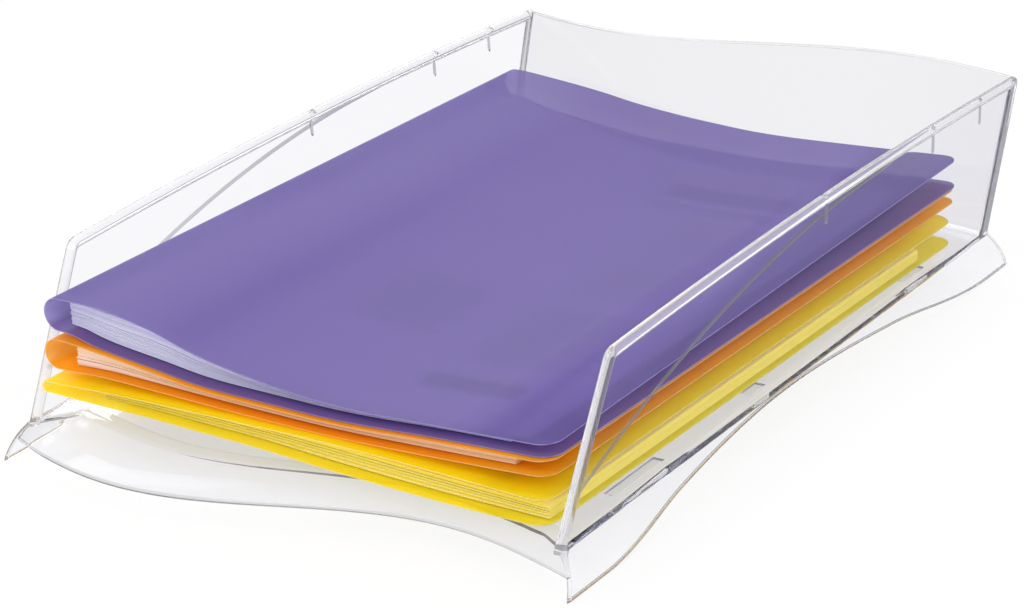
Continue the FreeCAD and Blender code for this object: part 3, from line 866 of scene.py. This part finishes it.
def paper_fibre_and_edge_light_group():
    """Colour and height of paper, with light from the films painted on its cut edges."""
    group, add, link, given, result = new_group(
        "paper_fibre_and_edge_light",
        {"Paper": "Color", "Fibre": "Color", "Edge Light Tint": "Color"},
        {"Color": "Color", "Height": "Float"},
    )
    place = add.new("ShaderNodeTexCoord")
    fibre = add.new("ShaderNodeTexNoise")
    fibre.inputs["Scale"].default_value = 900.0
    fibre.inputs["Detail"].default_value = 4.0
    link.new(place.outputs["Object"], fibre.inputs["Vector"])
    amount, paper, dark, colour = colour_mix(add)
    link.new(fibre.outputs["Fac"], amount)
    link.new(given.outputs["Paper"], paper)
    link.new(given.outputs["Fibre"], dark)
    face = add.new("ShaderNodeNewGeometry")
    parts = add.new("ShaderNodeSeparateXYZ")
    link.new(face.outputs["True Normal"], parts.inputs["Vector"])
    # Faces that stand on edge take the edge colour, which is painted light from the film around them.
    at_edge = add.new("ShaderNodeMapRange")
    at_edge.inputs["From Min"].default_value = 0.7
    at_edge.inputs["From Max"].default_value = 0.3
    link.new(maths(add, link, "ABSOLUTE", parts.outputs["Z"]), at_edge.inputs["Value"])
    edge_share, flat_face, edge_light_tint, tinted = colour_mix(add)
    link.new(at_edge.outputs["Result"], edge_share)
    link.new(colour, flat_face)
    link.new(given.outputs["Edge Light Tint"], edge_light_tint)
    link.new(tinted, result.inputs["Color"])
    link.new(fibre.outputs["Fac"], result.inputs["Height"])
    return group


def print_block_group():
    """Lines of ink in a box of the sheet: a share of every pitch along Y, with uneven ends."""
    group, add, link, given, result = new_group(
        "print_block",
        dict.fromkeys(("Left", "Right", "Near", "Far", "Pitch", "Line"), "Float"),
        {"Ink": "Float"},
    )
    given = given.outputs

    def math_node(operation, *values):
        return maths(add, link, operation, *values)

    place = add.new("ShaderNodeTexCoord")
    parts = add.new("ShaderNodeSeparateXYZ")
    link.new(place.outputs["Object"], parts.inputs["Vector"])
    x, y = parts.outputs["X"], parts.outputs["Y"]
    rows = math_node("DIVIDE", math_node("SUBTRACT", y, given["Near"]), given["Pitch"])
    draw = add.new("ShaderNodeTexWhiteNoise")
    draw.noise_dimensions = "1D"
    link.new(math_node("FLOOR", rows), draw.inputs["W"])
    width = math_node("SUBTRACT", given["Right"], given["Left"])
    short = math_node("MULTIPLY", math_node("MULTIPLY", draw.outputs["Value"], ragged_share), width)
    marks = [
        math_node("GREATER_THAN", x, given["Left"]),
        math_node("LESS_THAN", x, math_node("SUBTRACT", given["Right"], short)),
        math_node("GREATER_THAN", y, given["Near"]),
        math_node("LESS_THAN", y, given["Far"]),
        math_node("LESS_THAN", math_node("FRACT", rows), given["Line"]),
    ]
    ink = marks[0]
    for mark in marks[1:]:
        ink = math_node("MULTIPLY", ink, mark)
    link.new(ink, result.inputs["Ink"])
    return group


paper_fibre_and_edge_light = paper_fibre_and_edge_light_group()
print_block = print_block_group()
print_blocks = {
    "heading": (8, 96, 84, 104, 20, 0.8),
    "sub_heading": (8, 96, 70, 78, 5, 0.5),
    "right_text": (34, 98, 16, 62, 4.2, 0.36),
    "picture_note": (34, 98, -34, 8, 4.2, 0.36),
    "middle_text": (-30, 22, -100, -52, 4.2, 0.36),
    "front_mark": (34, 92, -142, -124, 18, 0.7),
    "front_text": (34, 98, -112, -52, 4.2, 0.36),
}


def paper_material(name, paper, edge_light_tint, blocks):
    """Paper with a colour, a tint of light painted on its cut edges and blocks of print."""
    material, add, link, shader, output = new_material(name)
    fibre = add.new("ShaderNodeGroup")
    fibre.node_tree = paper_fibre_and_edge_light
    fibre.inputs["Paper"].default_value = (*paper, 1)
    fibre.inputs["Fibre"].default_value = (*(shade_share * value for value in paper), 1)
    fibre.inputs["Edge Light Tint"].default_value = (*edge_light_tint, 1)
    colour = fibre.outputs["Color"]
    for left, right, near, far, pitch, line_share in blocks.values():
        block = add.new("ShaderNodeGroup")
        block.node_tree = print_block
        sizes = (left * mm, right * mm, near * mm, far * mm, pitch * mm, line_share)
        for socket, value in zip(block.inputs, sizes):
            socket.default_value = value
        ink, under, grey, colour_after = colour_mix(add)
        link.new(block.outputs["Ink"], ink)
        link.new(colour, under)
        grey.default_value = (*ink_grey, 1)
        colour = colour_after
    link.new(colour, shader.inputs["Base Color"])
    bump = add.new("ShaderNodeBump")
    bump.inputs["Strength"].default_value = 0.05
    bump.inputs["Distance"].default_value = 0.0001
    link.new(fibre.outputs["Height"], bump.inputs["Height"])
    link.new(bump.outputs["Normal"], shader.inputs["Normal"])
    shader.inputs["Roughness"].default_value = 0.85
    shader.inputs["Specular IOR Level"].default_value = 0.2
    return material


# The flat colours of the papers in the sheaves carry a milder painted tint of the film's light, and the edge
# colours are painted coloured light and shade from the film.
violet_paper = paper_material("paper_in_violet", (0.84, 0.84, 0.92), (0.76, 0.77, 0.95), {})
orange_paper = paper_material("paper_in_orange", (0.92, 0.85, 0.81), (0.96, 0.80, 0.72), {})
yellow_paper = paper_material("paper_in_yellow", (0.95, 0.89, 0.58), (0.96, 0.80, 0.13), {})
cover_paper = paper_material("cover_paper", (0.90, 0.89, 0.90), (0.60, 0.61, 0.83), print_blocks)
print("print blocks", len(print_blocks))

# %% [markdown]
# A sheaf is many sheets that lie between the leaves of a folder, bend with them and are never quite
# flush. Modelling each by hand would be slow, so a Geometry Nodes tree makes thin flat boxes, slips each
# a little and sends rays up and down to the solid of the sheaf: every layer then takes its own share of
# the height between the two faces that the rays meet.

# %% Tree of the sheets
layer_columns = 30
layer_rows = 8
along_slip_share = 1.6
half_layer = 0.5
ray_length = 2.0


def sheet_stack_tree():
    """Layers of paper, laid between the lower and the upper face of a sheaf's solid."""
    tree = bpy.data.node_groups.new("sheet_stack", "GeometryNodeTree")
    sockets = {
        "Sheaf": "Object", "Low Corner": "Vector", "High Corner": "Vector", "Layers": "Int",
        "Slip": "Float", "Seed": "Int", "Paper": "Material",
    }
    for name, kind in sockets.items():
        tree.interface.new_socket(name, in_out="INPUT", socket_type="NodeSocket" + kind)
    tree.interface.new_socket("Geometry", in_out="OUTPUT", socket_type="NodeSocketGeometry")
    add, link = tree.nodes, tree.links
    given = add.new("NodeGroupInput").outputs
    result = add.new("NodeGroupOutput")

    def vector_math(operation, *values):
        return maths(add, link, operation, *values, kind="ShaderNodeVectorMath")

    flat = (1, 1, 0)
    size = vector_math("SUBTRACT", given["High Corner"], given["Low Corner"])
    middle = vector_math("MULTIPLY_ADD", size, (0.5, 0.5, 0.5), given["Low Corner"])
    layer = add.new("GeometryNodeMeshCube")
    put(link, layer.inputs["Size"], vector_math("MULTIPLY_ADD", size, flat, (0, 0, 1)))
    put(link, layer.inputs["Vertices X"], layer_columns)
    put(link, layer.inputs["Vertices Y"], layer_rows)
    points = add.new("GeometryNodePoints")
    put(link, points.inputs["Count"], given["Layers"])
    put(link, points.inputs["Position"], vector_math("MULTIPLY", middle, flat))
    order = add.new("GeometryNodeStoreNamedAttribute")
    order.inputs["Name"].default_value = "order"
    link.new(points.outputs["Geometry"], order.inputs["Geometry"])
    link.new(add.new("GeometryNodeInputIndex").outputs["Index"], order.inputs["Value"])
    copies = add.new("GeometryNodeInstanceOnPoints")
    link.new(order.outputs["Geometry"], copies.inputs["Points"])
    link.new(layer.outputs["Mesh"], copies.inputs["Instance"])
    slipped = add.new("GeometryNodeTranslateInstances")
    draw = add.new("FunctionNodeRandomValue")
    draw.data_type = "FLOAT_VECTOR"
    most = add.new("ShaderNodeVectorMath")
    most.operation = "SCALE"
    most.inputs[0].default_value = (1, along_slip_share, 0)
    put(link, most.inputs["Scale"], given["Slip"])
    put(link, draw.inputs[0], vector_math("MULTIPLY", most.outputs["Vector"], (-1, -1, 0)))
    put(link, draw.inputs[1], most.outputs["Vector"])
    put(link, draw.inputs["Seed"], given["Seed"])
    link.new(copies.outputs["Instances"], slipped.inputs["Instances"])
    link.new(draw.outputs[0], slipped.inputs["Translation"])
    real = add.new("GeometryNodeRealizeInstances")
    link.new(slipped.outputs["Instances"], real.inputs["Geometry"])

    place = add.new("GeometryNodeInputPosition").outputs["Position"]
    column = vector_math("MINIMUM", vector_math("MAXIMUM", place, given["Low Corner"]), given["High Corner"])
    column = vector_math("MULTIPLY", column, flat)
    body = add.new("GeometryNodeObjectInfo")
    body.transform_space = "RELATIVE"
    put(link, body.inputs["Object"], given["Sheaf"])

    def face_met(start, heading):
        ray = add.new("GeometryNodeRaycast")
        link.new(body.outputs["Geometry"], ray.inputs["Target Geometry"])
        put(link, ray.inputs["Source Position"], vector_math("ADD", column, start))
        put(link, ray.inputs["Ray Direction"], heading)
        put(link, ray.inputs["Ray Length"], ray_length)
        return ray.outputs["Hit Position"]

    turn = add.new("GeometryNodeInputNamedAttribute")
    turn.data_type = "FLOAT"
    turn.inputs["Name"].default_value = "order"
    parts = add.new("ShaderNodeSeparateXYZ")
    put(link, parts.inputs["Vector"], place)
    upper = maths(add, link, "ADD", parts.outputs["Z"], half_layer)
    share = maths(add, link, "ADD", upper, turn.outputs["Attribute"])
    between = add.new("ShaderNodeMix")
    between.data_type = "VECTOR"
    put(link, between.inputs["Factor"], maths(add, link, "DIVIDE", share, given["Layers"]))
    put(link, between.inputs[4], face_met((0, 0, -1), (0, 0, 1)))
    put(link, between.inputs[5], face_met((0, 0, 1), (0, 0, -1)))
    height = add.new("ShaderNodeSeparateXYZ")
    put(link, height.inputs["Vector"], between.outputs[1])
    spot = add.new("ShaderNodeCombineXYZ")
    put(link, spot.inputs["X"], parts.outputs["X"])
    put(link, spot.inputs["Y"], parts.outputs["Y"])
    put(link, spot.inputs["Z"], height.outputs["Z"])
    settle = add.new("GeometryNodeSetPosition")
    link.new(real.outputs["Geometry"], settle.inputs["Geometry"])
    put(link, settle.inputs["Position"], spot.outputs["Vector"])
    finish = add.new("GeometryNodeSetMaterial")
    link.new(settle.outputs["Geometry"], finish.inputs["Geometry"])
    put(link, finish.inputs["Material"], given["Paper"])
    link.new(finish.outputs["Geometry"], result.inputs["Geometry"])
    return tree


sheet_stack = sheet_stack_tree()
print("sheet stack", len(sheet_stack.nodes), "nodes")

# %% [markdown]
# One call for each sheaf sets the tree's inputs and keeps the result as a plain mesh. The corners of the
# box are drawn in a little, so that no ray passes beside the solid. The cover sheet is a stack of one.

# %% Sheaves and cover sheet
box_margin = 0.2 * mm
sheet_slip = 0.3 * mm
loose_sheets = {
    "violet_sheaf": (36, sheet_slip, 3, violet_paper, "white_paper"),
    "orange_sheaf": (14, sheet_slip, 5, orange_paper, "white_paper"),
    "yellow_sheaf": (16, sheet_slip, 8, yellow_paper, "white_paper"),
    "violet_cover_sheet": (1, 0.0, 1, cover_paper, "printed_paper"),
}


def lay_sheets(node, layers, slip, seed, paper, slot):
    """Sheets that fill a sheaf's solid."""
    sheets = add_object(node + "_sheets", bpy.data.meshes.new(node + "_sheets"))
    modifier = sheets.modifiers.new("sheet_stack", "NODES")
    modifier.node_group = sheet_stack
    low, high = (Vector(corner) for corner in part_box(node))
    margin = Vector((box_margin, box_margin, 0))
    values = {
        "Sheaf": nodes[node], "Low Corner": low + margin, "High Corner": high - margin,
        "Layers": layers, "Slip": slip, "Seed": seed, "Paper": paper,
    }
    for socket in sheet_stack.interface.items_tree:
        if socket.in_out == "INPUT":
            modifier[socket.identifier] = values[socket.name]
    keep_result(sheets)
    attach(sheets, node.replace("cover_sheet", "sheaf"))
    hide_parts(node)
    print(sheets.name, len(sheets.data.polygons), "faces")


for node, settings in loose_sheets.items():
    lay_sheets(node, *settings)

# %% [markdown]
# The floor is pale and stays white for the camera, for mirrored and for bent rays, with a share of
# plain diffuse that keeps the shadow. The world is bright overhead and much dimmer at the horizon, so
# that the edges of the clear plastic draw thin grey lines.

# %% Floor, world and lamps
white_share = 0.87
floor_half = 4.0
horizon_light = 0.26
overhead_light = 0.75
lamp_aim = Vector((0, 0, 40 * mm))


def pale_floor():
    """A pale floor that looks white to the camera and in the clear plastic, but for its shadow."""
    material, add, link, shader, output = new_material("pale_floor")
    shader.inputs["Base Color"].default_value = (0.88, 0.88, 0.88, 1)
    shader.inputs["Roughness"].default_value = 1.0
    shader.inputs["Specular IOR Level"].default_value = 0.0
    white = add.new("ShaderNodeEmission")
    path = add.new("ShaderNodeLightPath").outputs
    seen = maths(add, link, "MAXIMUM", path["Is Camera Ray"], path["Is Glossy Ray"])
    seen = maths(add, link, "MAXIMUM", seen, path["Is Transmission Ray"])
    share = maths(add, link, "MULTIPLY", seen, white_share)
    surface = mixed(add, link, share, shader.outputs["BSDF"], white.outputs["Emission"])
    link.new(surface, output.inputs["Surface"])
    return material


floor_corners = [(x * floor_half, y * floor_half, 0) for x, y in ((-1, -1), (1, -1), (1, 1), (-1, 1))]
floor_mesh = bpy.data.meshes.new("studio_floor")
floor_mesh.from_pydata(floor_corners, [], [(0, 1, 2, 3)])
studio_floor = add_object("studio_floor", floor_mesh)
studio_floor.data.materials.append(pale_floor())

world = bpy.data.worlds.new("studio")
scene.world = world
world.use_nodes = True
sky = world.node_tree.nodes
sky_link = world.node_tree.links
direction = sky.new("ShaderNodeTexCoord")
split = sky.new("ShaderNodeSeparateXYZ")
ramp = sky.new("ShaderNodeValToRGB")
ramp.color_ramp.elements[0].position = 0.0
ramp.color_ramp.elements[0].color = (horizon_light, horizon_light, horizon_light, 1)
ramp.color_ramp.elements[1].position = 0.5
ramp.color_ramp.elements[1].color = (overhead_light, overhead_light, overhead_light, 1)
sky_link.new(direction.outputs["Generated"], split.inputs["Vector"])
sky_link.new(split.outputs["Z"], ramp.inputs["Fac"])
sky_link.new(ramp.outputs["Color"], sky["Background"].inputs["Color"])


def soft_lamp(name, place, width, height, power):
    """An area lamp that faces the stack."""
    lamp = bpy.data.lights.new(name, "AREA")
    lamp.shape = "RECTANGLE"
    lamp.size = width
    lamp.size_y = height
    lamp.energy = power
    holder = add_object(name, lamp)
    holder.location = place
    holder.rotation_euler = (lamp_aim - Vector(place)).to_track_quat("-Z", "Y").to_euler()


soft_lamp("rear_lamp", (-1.05, 1.2, 0.8), 1.0, 0.5, 4)
soft_lamp("left_lamp", (-0.95, 0.35, 1.35), 0.8, 0.8, 6)
soft_lamp("front_lamp", (0.1, -1.2, 1.35), 1.0, 0.6, 9)
soft_lamp("side_lamp", (1.3, -0.6, 1.0), 0.9, 0.7, 6)

# %% [markdown]
# The camera stands in front of the tray on its right and looks down on it, turned a little about its
# own axis, with a long lens. Light is mirrored many times inside a thin clear plate before it leaves, so
# a path may have many bounces: with few, the foot of the wall would show as a black line.

# %% Camera and light paths
clear_bounces = 128
camera_azimuth = math.radians(34.478)
camera_elevation = math.radians(22.074)
camera_roll = math.radians(-3.282)
camera_lens = 111.42
camera_distance = 1236.8
sight_right = 68.34
sight_up = 56.08

back = Vector((
    math.sin(camera_azimuth) * math.cos(camera_elevation),
    -math.cos(camera_azimuth) * math.cos(camera_elevation),
    math.sin(camera_elevation),
))
level = Vector((math.cos(camera_azimuth), math.sin(camera_azimuth), 0))
upright = back.cross(level)
right = math.cos(camera_roll) * level + math.sin(camera_roll) * upright
up = math.cos(camera_roll) * upright - math.sin(camera_roll) * level
stand = right * sight_right + up * sight_up + back * camera_distance
camera = add_object("camera", bpy.data.cameras.new("camera"))
camera.data.lens = camera_lens
camera.data.sensor_width = 36.0
camera.data.clip_start = 0.01
turned = Matrix((right, up, back)).transposed().to_4x4()
camera.matrix_world = Matrix.Translation(Vector(to_frame(stand))) @ turned
scene.camera = camera
scene.view_settings.view_transform = "Standard"
scene.cycles.max_bounces = clear_bounces
scene.cycles.transmission_bounces = clear_bounces
scene.cycles.glossy_bounces = clear_bounces
scene.cycles.transparent_max_bounces = clear_bounces
print("camera", [round(v, 3) for v in camera.matrix_world.translation])
